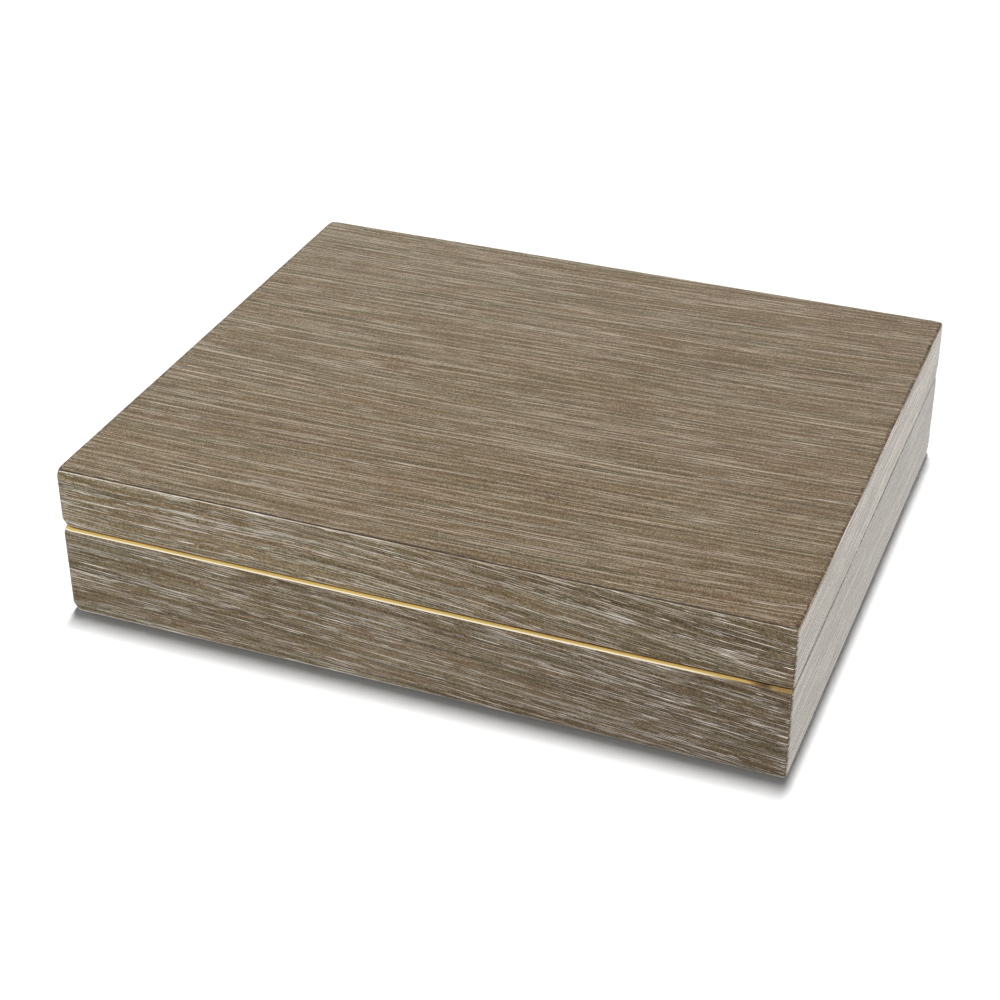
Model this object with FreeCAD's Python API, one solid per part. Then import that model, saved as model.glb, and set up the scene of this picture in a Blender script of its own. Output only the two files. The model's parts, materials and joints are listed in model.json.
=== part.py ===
import FreeCAD
import Part
import math
import os

# Keepsake box in limed oak veneer, with a hinged lid and a brass line let into the front rim of the base.
# Millimetres. +Z is up, the front faces -Y, and the lid turns on hinges at the back, +Y.
# The origin is the middle of the underside.

Vector = FreeCAD.Vector

# Outside
box_width = 286.0
box_depth = 241.0
base_height = 38.4
lid_height = 24.85
seam_gap = 0.25

# Veneer and walls
veneer_thickness = 1.5
core_thickness = 10.5
bottom_panel_thickness = 5.0
lid_panel_thickness = 6.0
panel_rabbet = 5.0
mitre_key_thickness = 2.0
mitre_key_width = 8.0
mitre_key_set_back = 5.0
mitre_key_end_cover = 3.0
mitre_key_clearance = 0.1

# Rounded edges
upright_round = 1.4
bottom_round = 1.4
rim_round = 2.0
lid_rim_round = 0.8
side_rim_round = 0.4
lid_top_round = 1.2

# Brass line
band_height = 1.75
band_width = 3.0

# Lining and felt
lining_thickness = 2.0
lining_rim_drop = 1.2
floor_pad_thickness = 4.5
lid_pad_thickness = 5.0
pad_crown = 0.9
pad_crown_reach = 60.0
pad_crown_steps = 4
pad_edge_round = 1.5
pad_roll_steps = 3
pad_corner_round = 2.0
pad_clearance = 0.3
felt_thickness = 0.8
felt_inset = 3.0

# Hinges
lid_open_angle = 95.0
stop_play_angle = 0.5
hinge_end_distance = 58.0
hinge_length = 36.0
knuckle_count = 5
knuckle_gap = 0.2
leaf_thickness = 1.3
leaf_edge_cover = 1.0
leaf_clearance = 0.1
pin_radius = 1.0
barrel_wall = 1.0
barrel_cover = 0.4
barrel_clearance = 0.3
base_bore_clearance = 0.01
lid_bore_clearance = 0.05

# Screws
screws_per_leaf = 3
screw_shank_radius = 1.0
screw_head_radius = 2.0
screw_length = 9.0
screw_point_length = 1.5
screw_slot_width = 0.5
screw_slot_depth = 0.45
screw_clearance = 0.04

# Worked out from the sizes above
wall_thickness = veneer_thickness + core_thickness
base_floor_z = felt_thickness
base_rim_z = base_floor_z + base_height
lid_rim_z = base_rim_z + seam_gap
lid_top_z = lid_rim_z + lid_height
seam_z = base_rim_z + seam_gap / 2
inner_width = box_width - 2 * wall_thickness
inner_depth = box_depth - 2 * wall_thickness
carcass_width = box_width - 2 * veneer_thickness
carcass_depth = box_depth - 2 * veneer_thickness
lid_carcass_top_z = lid_top_z - veneer_thickness
lid_ceiling_z = lid_carcass_top_z - lid_panel_thickness
base_inside_z = base_floor_z + bottom_panel_thickness
barrel_radius = pin_radius + barrel_wall
pin_inset = barrel_radius + barrel_cover
pin_y = box_depth / 2 - pin_inset
leaf_width = wall_thickness - pin_inset - leaf_edge_cover
bevel_angle = math.radians(lid_open_angle / 2 + stop_play_angle)
hinge_reach = box_width / 2 - hinge_end_distance
hinge_centres = {"left": -hinge_reach, "right": hinge_reach}


def block(x0, x1, y0, y1, z0, z1):
    return Part.makeBox(x1 - x0, y1 - y0, z1 - z0, Vector(x0, y0, z0))


def centred_block(width, depth, z0, z1):
    return block(-width / 2, width / 2, -depth / 2, depth / 2, z0, z1)


def plan_prism(points, z0, z1):
    corners = [Vector(x, y, z0) for x, y in points]
    outline = Part.makePolygon(corners + corners[:1])
    return Part.Face(outline).extrude(Vector(0, 0, z1 - z0))


def rectangle(width, depth, z):
    x = width / 2
    y = depth / 2
    corners = [Vector(-x, -y, z), Vector(x, -y, z), Vector(x, y, z), Vector(-x, y, z)]
    return Part.makePolygon(corners + corners[:1])


def rounded_outline(u0, u1, v0, v1, low_round, high_round, place):
    # A rectangle from (u0, v0) to (u1, v1) with an arc at each corner; place turns (u, v) into a point.
    corners = [
        (u0, v0, 1, 1, low_round),
        (u1, v0, -1, 1, low_round),
        (u1, v1, -1, -1, high_round),
        (u0, v1, 1, -1, high_round),
    ]
    arcs = []
    for number, (u, v, in_u, in_v, radius) in enumerate(corners):
        along_u = place(u + in_u * radius, v)
        along_v = place(u, v + in_v * radius)
        inset = radius * (1 - math.sqrt(0.5))
        middle = place(u + in_u * inset, v + in_v * inset)
        start, end = (along_v, along_u) if number % 2 == 0 else (along_u, along_v)
        arcs.append((start, middle, end))
    edges = []
    for number, (start, middle, end) in enumerate(arcs):
        edges.append(Part.Arc(start, middle, end).toShape())
        edges.append(Part.makeLine(end, arcs[(number + 1) % 4][0]))
    return Part.Wire(edges)


def rounded_block(width, depth, z0, z1, front_rounds, side_rounds):
    # Rounded uprights, and a round along every lower and upper edge: three extrusions intersected.
    # Each pair of rounds is the lower edge's and the upper edge's.
    x = width / 2
    y = depth / 2
    plan = rounded_outline(-x, x, -y, y, upright_round, upright_round, lambda u, v: Vector(u, v, z0))
    across = rounded_outline(-y, y, z0, z1, *front_rounds, lambda u, v: Vector(-x, u, v))
    along = rounded_outline(-x, x, z0, z1, *side_rounds, lambda u, v: Vector(u, -y, v))
    uprights = Part.Face(plan).extrude(Vector(0, 0, z1 - z0))
    fronts = Part.Face(across).extrude(Vector(width, 0, 0))
    sides = Part.Face(along).extrude(Vector(0, depth, 0))
    return uprights.common(fronts).common(sides)


def mitred_boards(width, depth, thickness, z0, z1):
    # Four boards round a rectangle, mitred at the uprights, by the side that each stands on.
    x = width / 2
    y = depth / 2
    xi = x - thickness
    yi = y - thickness
    plans = {
        "front": [(-x, -y), (x, -y), (xi, -yi), (-xi, -yi)],
        "back": [(x, y), (-x, y), (-xi, yi), (xi, yi)],
        "left": [(-x, y), (-x, -y), (-xi, -yi), (-xi, yi)],
        "right": [(x, -y), (x, y), (xi, yi), (xi, -yi)],
    }
    return {side: plan_prism(plan, z0, z1) for side, plan in plans.items()}


def mitre_keys(z0, z1, grow):
    # A loose key across each mitre of the carcass, square to the joint, nearer to the inside.
    # With grow as the clearance round it, the same blocks are the slots for the keys.
    keys = []
    half_thickness = mitre_key_thickness / 2 + grow
    half_width = mitre_key_width / 2 + grow
    reach = mitre_key_set_back / math.sqrt(2)
    for sign_x in (-1, 1):
        for sign_y in (-1, 1):
            key = block(-half_thickness, half_thickness, -half_width, half_width, z0 - grow, z1 + grow)
            key.rotate(Vector(0, 0, 0), Vector(0, 0, 1), 45 * sign_x * sign_y)
            x = sign_x * (inner_width / 2 + reach)
            y = sign_y * (inner_depth / 2 + reach)
            key.translate(Vector(x, y, 0))
            keys.append(key)
    return keys


def pad_sections(thickness):
    # Inset and height up a pad's edge: upright, rolled over by a quarter round, then up to the crown.
    shoulder = thickness - pad_crown
    sections = [(0.0, 0.0), (0.0, shoulder - pad_edge_round)]
    for step in range(1, pad_roll_steps + 1):
        turn = math.pi / 2 * step / pad_roll_steps
        inset = pad_edge_round * (1 - math.cos(turn))
        sections.append((inset, shoulder - pad_edge_round * (1 - math.sin(turn))))
    for step in range(1, pad_crown_steps + 1):
        share = step / pad_crown_steps
        inset = pad_edge_round + pad_crown_reach * share
        sections.append((inset, shoulder + pad_crown * share * (2 - share)))
    return sections


def crowned_pad(width, depth, flat_z, thickness, upward):
    # Loft through rounded rectangles; upward is 1 for a pad that lies and -1 for one that hangs.
    outlines = []
    for inset, height in pad_sections(thickness):
        x = width / 2 - inset
        y = depth / 2 - inset
        z = flat_z + upward * height
        corner = pad_corner_round
        outlines.append(rounded_outline(-x, x, -y, y, corner, corner, lambda u, v: Vector(u, v, z)))
    return Part.makeLoft(outlines, True, True)


def pin_cylinder(radius, x0, x1):
    return Part.makeCylinder(radius, x1 - x0, Vector(x0, pin_y, seam_z), Vector(1, 0, 0))


def knuckle_spans(centre):
    # The stretches of the barrel from left to right; even ones are the base's, odd ones the lid's.
    pitch = hinge_length / knuckle_count
    start = centre - hinge_length / 2
    return [(start + i * pitch, start + (i + 1) * pitch) for i in range(knuckle_count)]


def screw_places(centre):
    flat_from = pin_y - leaf_width
    flat_to = pin_y - barrel_radius - barrel_clearance
    pitch = hinge_length / screws_per_leaf
    start = centre - hinge_length / 2 + pitch / 2
    return [(start + i * pitch, (flat_from + flat_to) / 2) for i in range(screws_per_leaf)]


def screw_solid(x, y, head_z, into, grow=0.0):
    # Countersunk screw whose head is flush at head_z; into is -1 for down and 1 for up.
    way = Vector(0, 0, into)
    head = screw_head_radius + grow
    shank = screw_shank_radius + grow
    cone_depth = screw_head_radius - screw_shank_radius
    shank_length = screw_length - cone_depth - screw_point_length + grow
    at = Vector(x, y, head_z)
    cone = Part.makeCone(head, shank, cone_depth, at, way)
    rod = Part.makeCylinder(shank, shank_length, at + way * cone_depth, way)
    point = Part.makeCone(shank, shank / 4, screw_point_length, at + way * (cone_depth + shank_length), way)
    return cone.fuse([rod, point]).removeSplitter()


def slotted_screw(x, y, head_z, into):
    low_z, high_z = sorted((head_z, head_z + into * screw_slot_depth))
    slot = block(
        x - screw_head_radius, x + screw_head_radius,
        y - screw_slot_width / 2, y + screw_slot_width / 2,
        low_z, high_z,
    )
    return screw_solid(x, y, head_z, into).cut(slot)


def hinge_leaf(centre, into):
    # A leaf with its own knuckles; into is -1 for the base's leaf and 1 for the lid's.
    face_z = seam_z + into * seam_gap / 2
    low_z, high_z = sorted((face_z, face_z + into * leaf_thickness))
    half = hinge_length / 2
    plate = block(centre - half, centre + half, pin_y - leaf_width, pin_y, low_z, high_z)
    own = 0 if into < 0 else 1
    knuckles = []
    clearances = []
    for number, (x0, x1) in enumerate(knuckle_spans(centre)):
        if number % 2 == own:
            knuckles.append(pin_cylinder(barrel_radius, x0 + knuckle_gap / 2, x1 - knuckle_gap / 2))
        else:
            clearances.append(pin_cylinder(barrel_radius + barrel_clearance, x0, x1))
    bore = base_bore_clearance if into < 0 else lid_bore_clearance
    holes = [screw_solid(x, y, face_z, into, screw_clearance) for x, y in screw_places(centre)]
    leaf = plate.cut(clearances).fuse(knuckles).removeSplitter()
    return leaf.cut(holes + [pin_cylinder(pin_radius + bore, centre - half, centre + half)])


def hinge_recess(centre, into):
    # What the wood loses to one leaf: its mortise, the room round the barrel and the screw holes.
    face_z = seam_z + into * seam_gap / 2
    low_z, high_z = sorted((seam_z, face_z + into * leaf_thickness))
    half = hinge_length / 2 + leaf_clearance
    mortise = block(
        centre - half, centre + half,
        pin_y - leaf_width - leaf_clearance, pin_y,
        low_z, high_z,
    )
    room = pin_cylinder(
        barrel_radius + barrel_clearance,
        centre - half - barrel_clearance, centre + half + barrel_clearance,
    )
    holes = [screw_solid(x, y, face_z, into, screw_clearance) for x, y in screw_places(centre)]
    return [mortise, room] + holes


def back_bevel():
    # The wedge between the two back edges, from the pin outwards: its faces meet when the lid is open.
    out_y = box_depth / 2 + barrel_cover
    rise = (out_y - pin_y) * math.tan(bevel_angle)
    corners = [
        Vector(-box_width, pin_y, seam_z),
        Vector(-box_width, out_y, seam_z + rise),
        Vector(-box_width, out_y, seam_z - rise),
    ]
    outline = Part.makePolygon(corners + corners[:1])
    return Part.Face(outline).extrude(Vector(2 * box_width, 0, 0))


def rim_band():
    # The brass line along the front rim, mitred into the sides like the front veneer below it.
    x = box_width / 2
    y = box_depth / 2
    xi = x - band_width
    yi = y - band_width
    plan = [(-x, -y), (x, -y), (xi, -yi), (-xi, -yi)]
    return plan_prism(plan, base_rim_z - band_height, base_rim_z)


def one_solid(shape):
    return max(shape.Solids, key=lambda solid: solid.Volume)


nodes = {}

# Cutters and outer forms shared by the pieces
bevel = back_bevel()
base_form = rounded_block(
    box_width, box_depth, base_floor_z, base_rim_z,
    (bottom_round, rim_round), (bottom_round, side_rim_round),
)
lid_form = rounded_block(
    box_width, box_depth, lid_rim_z, lid_top_z,
    (lid_rim_round, lid_top_round), (side_rim_round, lid_top_round),
)
band = rim_band()
base_recesses = [cut for centre in hinge_centres.values() for cut in hinge_recess(centre, -1)]
lid_recesses = [cut for centre in hinge_centres.values() for cut in hinge_recess(centre, 1)]

# Base carcass
bottom_panel = centred_block(
    inner_width + 2 * panel_rabbet, inner_depth + 2 * panel_rabbet, base_floor_z, base_inside_z
)
base_key_span = (base_inside_z + mitre_key_end_cover, base_rim_z - leaf_thickness - mitre_key_end_cover)
base_key_slots = mitre_keys(*base_key_span, mitre_key_clearance)
nodes["base_bottom_panel"] = bottom_panel
nodes["base_mitre_keys"] = Part.makeCompound(mitre_keys(*base_key_span, 0.0))
base_walls = mitred_boards(carcass_width, carcass_depth, core_thickness, base_floor_z, base_rim_z)
for side, wall in base_walls.items():
    wall = wall.cut(base_key_slots).cut(bottom_panel).common(base_form)
    wall = wall.cut([bevel, band])
    nodes["base_wall_" + side] = one_solid(wall.cut(base_recesses))

# Base veneers and brass line
base_veneers = mitred_boards(box_width, box_depth, veneer_thickness, base_floor_z, base_rim_z)
for side, veneer in base_veneers.items():
    veneer = veneer.common(base_form).cut([bevel, band])
    nodes["base_veneer_" + side] = one_solid(veneer.cut(base_recesses))
nodes["rim_band_front"] = one_solid(band.common(base_form))

# Lid carcass
lid_panel = centred_block(
    inner_width + 2 * panel_rabbet, inner_depth + 2 * panel_rabbet, lid_ceiling_z, lid_carcass_top_z
)
lid_key_span = (lid_rim_z + leaf_thickness + mitre_key_end_cover, lid_ceiling_z - mitre_key_end_cover)
lid_key_slots = mitre_keys(*lid_key_span, mitre_key_clearance)
nodes["lid_top_panel"] = lid_panel
nodes["lid_mitre_keys"] = Part.makeCompound(mitre_keys(*lid_key_span, 0.0))
lid_walls = mitred_boards(carcass_width, carcass_depth, core_thickness, lid_rim_z, lid_carcass_top_z)
for side, wall in lid_walls.items():
    wall = wall.cut(lid_key_slots).cut(lid_panel).common(lid_form).cut(bevel)
    nodes["lid_wall_" + side] = one_solid(wall.cut(lid_recesses))

# Lid veneers: the top one meets the four others in mitres all round
top_veneer = Part.makeLoft(
    [rectangle(carcass_width, carcass_depth, lid_carcass_top_z), rectangle(box_width, box_depth, lid_top_z)],
    True, True,
)
lid_veneers = mitred_boards(box_width, box_depth, veneer_thickness, lid_rim_z, lid_top_z)
for side, veneer in lid_veneers.items():
    veneer = veneer.common(lid_form).cut([top_veneer, bevel])
    nodes["lid_veneer_" + side] = one_solid(veneer.cut(lid_recesses))
nodes["lid_veneer_top"] = one_solid(top_veneer.common(lid_form))

# Lining, pads and felt
pad_width = inner_width - 2 * lining_thickness - 2 * pad_clearance
pad_depth = inner_depth - 2 * lining_thickness - 2 * pad_clearance
nodes["floor_pad"] = crowned_pad(pad_width, pad_depth, base_inside_z, floor_pad_thickness, 1)
nodes["lid_pad"] = crowned_pad(pad_width, pad_depth, lid_ceiling_z, lid_pad_thickness, -1)
base_linings = mitred_boards(
    inner_width, inner_depth, lining_thickness, base_inside_z, base_rim_z - lining_rim_drop
)
lid_linings = mitred_boards(
    inner_width, inner_depth, lining_thickness, lid_rim_z + lining_rim_drop, lid_ceiling_z
)
for side in base_linings:
    nodes["base_lining_" + side] = base_linings[side]
    nodes["lid_lining_" + side] = lid_linings[side]
nodes["underside_felt"] = centred_block(
    box_width - 2 * felt_inset, box_depth - 2 * felt_inset, base_floor_z - felt_thickness, base_floor_z
)

# Hinges and screws
base_screws = []
lid_screws = []
for side, centre in hinge_centres.items():
    nodes["hinge_base_leaf_" + side] = one_solid(hinge_leaf(centre, -1))
    nodes["hinge_lid_leaf_" + side] = one_solid(hinge_leaf(centre, 1))
    half = hinge_length / 2
    nodes["hinge_pin_" + side] = pin_cylinder(pin_radius, centre - half, centre + half)
    for x, y in screw_places(centre):
        base_screws.append(slotted_screw(x, y, base_rim_z, -1))
        lid_screws.append(slotted_screw(x, y, lid_rim_z, 1))
nodes["base_hinge_screws"] = Part.makeCompound(base_screws)
nodes["lid_hinge_screws"] = Part.makeCompound(lid_screws)

os.makedirs("parts", exist_ok=True)
for name, shape in nodes.items():
    shape.exportStep("parts/" + name + ".step")
    print(name, len(shape.Solids), round(shape.Volume, 1), shape.isValid())
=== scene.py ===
import json
import math

import bpy
import numpy as np
from mathutils import Matrix, Vector


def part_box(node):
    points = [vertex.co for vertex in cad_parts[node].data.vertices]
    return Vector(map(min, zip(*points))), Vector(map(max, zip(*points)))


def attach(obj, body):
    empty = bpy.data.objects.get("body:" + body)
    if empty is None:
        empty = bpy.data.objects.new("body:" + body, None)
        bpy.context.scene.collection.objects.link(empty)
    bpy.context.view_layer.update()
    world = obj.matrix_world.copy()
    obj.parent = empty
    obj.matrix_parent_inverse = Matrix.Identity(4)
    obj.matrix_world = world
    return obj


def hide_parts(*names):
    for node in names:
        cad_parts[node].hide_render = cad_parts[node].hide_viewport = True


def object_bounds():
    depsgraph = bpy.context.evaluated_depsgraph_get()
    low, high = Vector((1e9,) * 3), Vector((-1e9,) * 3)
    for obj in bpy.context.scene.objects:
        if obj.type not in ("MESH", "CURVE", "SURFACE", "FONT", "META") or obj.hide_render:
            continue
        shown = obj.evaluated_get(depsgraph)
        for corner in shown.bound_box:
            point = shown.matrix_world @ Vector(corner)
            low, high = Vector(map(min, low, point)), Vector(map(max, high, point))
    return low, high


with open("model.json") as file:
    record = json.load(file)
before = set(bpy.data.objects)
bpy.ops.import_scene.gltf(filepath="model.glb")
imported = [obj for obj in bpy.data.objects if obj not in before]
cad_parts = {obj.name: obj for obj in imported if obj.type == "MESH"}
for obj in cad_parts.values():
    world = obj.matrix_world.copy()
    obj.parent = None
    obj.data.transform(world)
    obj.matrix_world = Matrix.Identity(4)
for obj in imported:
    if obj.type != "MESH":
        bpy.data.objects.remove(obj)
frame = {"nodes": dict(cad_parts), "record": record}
cadLow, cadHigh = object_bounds()
millimetre = 0.001
mitreTurn = 45
smoothBelow = 50
print("frame loaded,", len(frame["nodes"]), "solids")


# Levels and planes of the box, all read from the solids
boxLevels = {
    "left": cadLow[0],
    "right": cadHigh[0],
    "front": cadLow[1],
    "back": cadHigh[1],
    "baseFoot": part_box("base_veneer_front")[0].z,
    "bandFoot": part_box("rim_band_front")[0].z,
    "bandTop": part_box("rim_band_front")[1].z,
    "lidRim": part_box("lid_wall_front")[0].z,
    "lidTop": cadHigh[2],
}
boxWidth = boxLevels["right"] - boxLevels["left"]
boxDepth = boxLevels["back"] - boxLevels["front"]
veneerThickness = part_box("base_veneer_front")[1].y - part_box("base_veneer_front")[0].y

# The pin's line, and the bevel that both back edges have from it
lidJoint = frame["record"]["behaviour"]["joints"][0]
pinY = lidJoint["pos_m"][1]
seamZ = lidJoint["pos_m"][2]
bevelPlay = 0.5
bevelSlope = math.tan(math.radians(lidJoint["range_deg"][1] / 2 + bevelPlay))


def latticeNoise(u, v, seed):
    # random heights on a unit lattice, eased between the four corners round each point, 0 to 1
    size = 256
    heights = np.random.default_rng(seed).random((size, size))
    cellU = np.floor(u).astype(int)
    cellV = np.floor(v).astype(int)
    easeU = (u - cellU) ** 2 * (3 - 2 * (u - cellU))
    easeV = (v - cellV) ** 2 * (3 - 2 * (v - cellV))
    near = (heights[cellU % size, cellV % size] * (1 - easeU)
            + heights[(cellU + 1) % size, cellV % size] * easeU)
    far = (heights[cellU % size, (cellV + 1) % size] * (1 - easeU)
           + heights[(cellU + 1) % size, (cellV + 1) % size] * easeU)
    return near * (1 - easeV) + far * easeV


def edgeRun(edge):
    # distances from an edge over its quarter round, from the furthest turn of the round to its flat end
    angles = np.radians(np.linspace(edge["turn"], edge["rest"], edge["count"]))
    return edge["round"] * (1 - np.sin(angles))


def roundDepth(distance, rounding):
    # how deep a quarter round lies under the flat, at a distance from the edge
    if rounding <= 0:
        return np.zeros_like(distance)
    short = np.clip(rounding - distance, 0, rounding)
    return rounding - np.sqrt(np.maximum(rounding ** 2 - short ** 2, 0))


def spread(length, first, last, step):
    # places across a board: the first edge's round, even steps over the flat, the last edge's round
    head = edgeRun(first) if first["round"] > 0 else np.array([0.0])
    tail = edgeRun(last) if last["round"] > 0 else np.array([0.0])
    steps = max(2, int(round((length - head[-1] - tail[-1]) / step)))
    middle = np.linspace(head[-1], length - tail[-1], steps + 1)
    return np.unique(np.round(np.concatenate([head, middle, length - tail]), 9))


def blended(first, second):
    # the deeper one rules, and where both are deep it is a little deeper than either
    return (first ** 3 + second ** 3) ** (1 / 3)


def edgeDepth(edges, size, a, b):
    # how deep the rounds of the four edges lie under the flat
    fromA = np.maximum(roundDepth(a, edges["start"]["round"]), roundDepth(size[0] - a, edges["end"]["round"]))
    fromB = np.maximum(roundDepth(b, edges["low"]["round"]), roundDepth(size[1] - b, edges["high"]["round"]))
    return blended(fromA, fromB)


mitreReach = 6.0 * millimetre


def follow(distance):
    # how much of a mitre's shift the grid takes up at a distance from it
    return np.clip(1 - distance / mitreReach, 0, 1)


def buildBoard(name, place, size, edges, thickness, step, depthAt=None, meets=None, relief=None, shift=None,
               marks=None):
    # A board is a grid (a along, b across) that lies under its face by the depth of its edges, plus its
    # relief. A mitred border lies as far in as the board that it meets is deep there, or as its own depth.
    # The border is then carried to the inner face and closed there.
    corner, along, across, outward = (np.array(v, float) for v in place)
    a = spread(size[0], edges["start"], edges["end"], step[0])
    b = spread(size[1], edges["low"], edges["high"], step[1])
    flatA, flatB = np.meshgrid(a, b, indexing="ij")
    depth = depthAt(flatA, flatB) if depthAt else edgeDepth(edges, size, flatA, flatB)
    meets = meets or {}
    gridA, gridB = flatA.copy(), flatB.copy()
    if edges["start"]["turn"] == mitreTurn:
        aside = (meets["start"](b) if "start" in meets else depth[0, :]) - a[0]
        gridA += aside[None, :] * follow(a - a[0])[:, None]
    if edges["end"]["turn"] == mitreTurn:
        aside = (meets["end"](b) if "end" in meets else depth[-1, :]) - (size[0] - a[-1])
        gridA -= aside[None, :] * follow(a[-1] - a)[:, None]
    if edges["low"]["turn"] == mitreTurn:
        gridB += (depth[:, 0] - b[0])[:, None] * follow(b - b[0])[None, :]
    if edges["high"]["turn"] == mitreTurn:
        gridB -= (depth[:, -1] - (size[1] - b[-1]))[:, None] * follow(b[-1] - b)[None, :]
    insideA = np.array([edges["start"]["inside"], size[0] - edges["end"]["inside"]])
    insideB = np.array([edges["low"]["inside"], size[1] - edges["high"]["inside"]])
    innerA = np.interp(flatA, [a[0], a[-1]], insideA)
    innerB = np.interp(flatB, [b[0], b[-1]], insideB)
    if "start" in meets:
        innerA[0, :] = np.maximum(innerA[0, :], gridA[0, :])
        innerA[-1, :] = np.minimum(innerA[-1, :], gridA[-1, :])
    layers = marks(gridA, gridB) if marks is not None else {}
    lift = relief(gridA, gridB) if relief is not None else 0.0
    if shift is not None:
        gridA, gridB, innerA, innerB = shift(gridA, gridB, innerA, innerB)
    outer = (corner + gridA[..., None] * along + gridB[..., None] * across
             - (depth - lift)[..., None] * outward)
    inner = corner + innerA[..., None] * along + innerB[..., None] * across - thickness * outward
    rows, columns = depth.shape
    number = np.arange(rows * columns).reshape(rows, columns)
    ring = np.concatenate([number[:-1, 0], number[-1, :-1], number[:0:-1, -1], number[0, :0:-1]])
    points = np.concatenate([outer.reshape(-1, 3), inner.reshape(-1, 3)[ring]])
    points = np.concatenate([points, points[-len(ring):].mean(0)[None, :]])
    innerRing = rows * columns + np.arange(len(ring))
    faces = np.stack([number[:-1, :-1], number[1:, :-1], number[1:, 1:], number[:-1, 1:]], -1).reshape(-1, 4)
    wall = np.stack([ring, innerRing, np.roll(innerRing, -1), np.roll(ring, -1)], -1)
    cap = np.stack([innerRing, np.full(len(ring), len(points) - 1), np.roll(innerRing, -1)], -1)
    if np.dot(np.cross(along, across), outward) < 0:
        faces, wall, cap = faces[:, ::-1], wall[:, ::-1], cap[:, ::-1]
    mesh = bpy.data.meshes.new(name)
    fillMesh(mesh, points, [np.concatenate([faces, wall]), cap])
    piece = addObject(name, mesh)
    # distances in millimetres to the nearer end, the low edge and the high edge
    if layers:
        ends = np.minimum(flatA, size[0] - flatA)
        layers["border"] = np.stack([ends, flatB, size[1] - flatB], -1) / millimetre
    # on the walls, the grain and the distances count on from the border
    wallWidth = np.linalg.norm(points[innerRing] - points[ring], axis=1)[:, None]
    onward = {"grain": wallWidth * (0, 1, 0), "border": wallWidth / millimetre}
    for key, values in layers.items():
        values = values.reshape(rows * columns, -1)
        walls = values[ring] + onward.get(key, 0)
        values = np.concatenate([values, walls, values[:1]]).astype(np.float32).reshape(-1)
        if len(values) == len(points):
            mesh.attributes.new(key, "FLOAT", "POINT").data.foreach_set("value", values)
        else:
            mesh.attributes.new(key, "FLOAT_VECTOR", "POINT").data.foreach_set("vector", values)
    return piece


def addObject(name, data):
    made = bpy.data.objects.new(name, data)
    bpy.context.scene.collection.objects.link(made)
    return made


def fillMesh(mesh, points, faceSets):
    # puts points and faces, given as arrays of equal-sided faces, into a mesh that is shaded smooth
    corners = np.concatenate([faces.reshape(-1) for faces in faceSets])
    totals = np.concatenate([np.full(len(faces), faces.shape[1]) for faces in faceSets])
    starts = np.concatenate([[0], np.cumsum(totals)[:-1]])
    mesh.vertices.add(len(points))
    mesh.vertices.foreach_set("co", points.astype(np.float32).reshape(-1))
    mesh.loops.add(len(corners))
    mesh.loops.foreach_set("vertex_index", corners.astype(np.int32))
    mesh.polygons.add(len(totals))
    mesh.polygons.foreach_set("loop_start", starts.astype(np.int32))
    mesh.update(calc_edges=True)
    mesh.validate()
    mesh.polygons.foreach_set("use_smooth", np.ones(len(mesh.polygons), bool))
    mesh.set_sharp_from_angle(angle=math.radians(smoothBelow))


# Oak boards, in millimetres: how far the grain leans at the left and at the right end of a board (rise over
# run), how far it waves, and the relief of its rings, which long streaks deepen and fill
oakGrain = {
    "top": {"lean": (-0.010, 0.065), "wave": 3.0, "seed": 3},
    "front": {"lean": (-0.022, -0.090), "wave": 6.0, "seed": 11},
    "right": {"lean": (0.0, 0.0), "wave": 4.0, "seed": 21},
    "back": {"lean": (0.0, -0.020), "wave": 5.0, "seed": 31},
    "left": {"lean": (0.0, 0.0), "wave": 4.0, "seed": 41},
    "waveLong": (130.0, 26.0),      # how far a slow wave runs along and across
    "waveShort": (34.0, 9.0),
    "shortShare": 0.16,
    "spacing": 2.95,
    "streak": (30.0, 1.1),
    "streakShift": 500,
    "depth": 0.03,
    "boardStep": 0.1,
}


def oakField(face, along, across):
    # (along, bent across, board's own number, ring): grain lines lean and bend with two slow noises; on the
    # bent lines a cosine gives the rings, 0 to 1, and a long noise fills some of them
    grain = oakGrain[face]
    seed = grain["seed"]
    u = along / millimetre
    v = across / millimetre
    slow = latticeNoise(u / oakGrain["waveLong"][0], v / oakGrain["waveLong"][1], seed) - 0.5
    quick = latticeNoise(u / oakGrain["waveShort"][0], v / oakGrain["waveShort"][1], seed + 1) - 0.5
    first, last = grain["lean"]
    leaning = first * u + (last - first) * u ** 2 / (2 * boxWidth / millimetre)
    bent = v - leaning + grain["wave"] * (slow + oakGrain["shortShare"] * quick)
    streak = latticeNoise(u / oakGrain["streak"][0], bent / oakGrain["streak"][1] + oakGrain["streakShift"],
                          seed + 3)
    ring = (0.5 + 0.5 * np.cos(2 * np.pi * bent / oakGrain["spacing"])) * streak
    return along, bent * millimetre, np.full_like(along, oakGrain["boardStep"] * seed), ring


def oakBoard(name, face, place, size, edges, step, offset, depthAt, meets=None, shift=None):
    # a veneer whose grain is counted from the box's own frame, so that it runs on from board to board
    def field(a, b):
        return oakField(face, a + offset[0], b + offset[1])

    def relief(a, b):
        return -oakGrain["depth"] * millimetre * field(a, b)[3]

    def marks(a, b):
        return {"grain": np.stack(field(a, b)[:3], -1)}

    return buildBoard(name, place, size, edges, veneerThickness, step, depthAt, meets, relief, shift, marks)


def roundedEdge(rounding, inside=0, turn=90, count=6, rest=0):
    # turn and rest are the angles, from the face, at which the round ends and starts; inside is how far
    # in the inner face ends
    return {"round": rounding, "turn": turn, "inside": inside, "count": count, "rest": rest}


def mitredEdge(inside):
    return roundedEdge(veneers["arrisRound"], inside, mitreTurn)


def evenEdges(edge):
    return dict.fromkeys(("start", "end", "low", "high"), edge)


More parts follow.
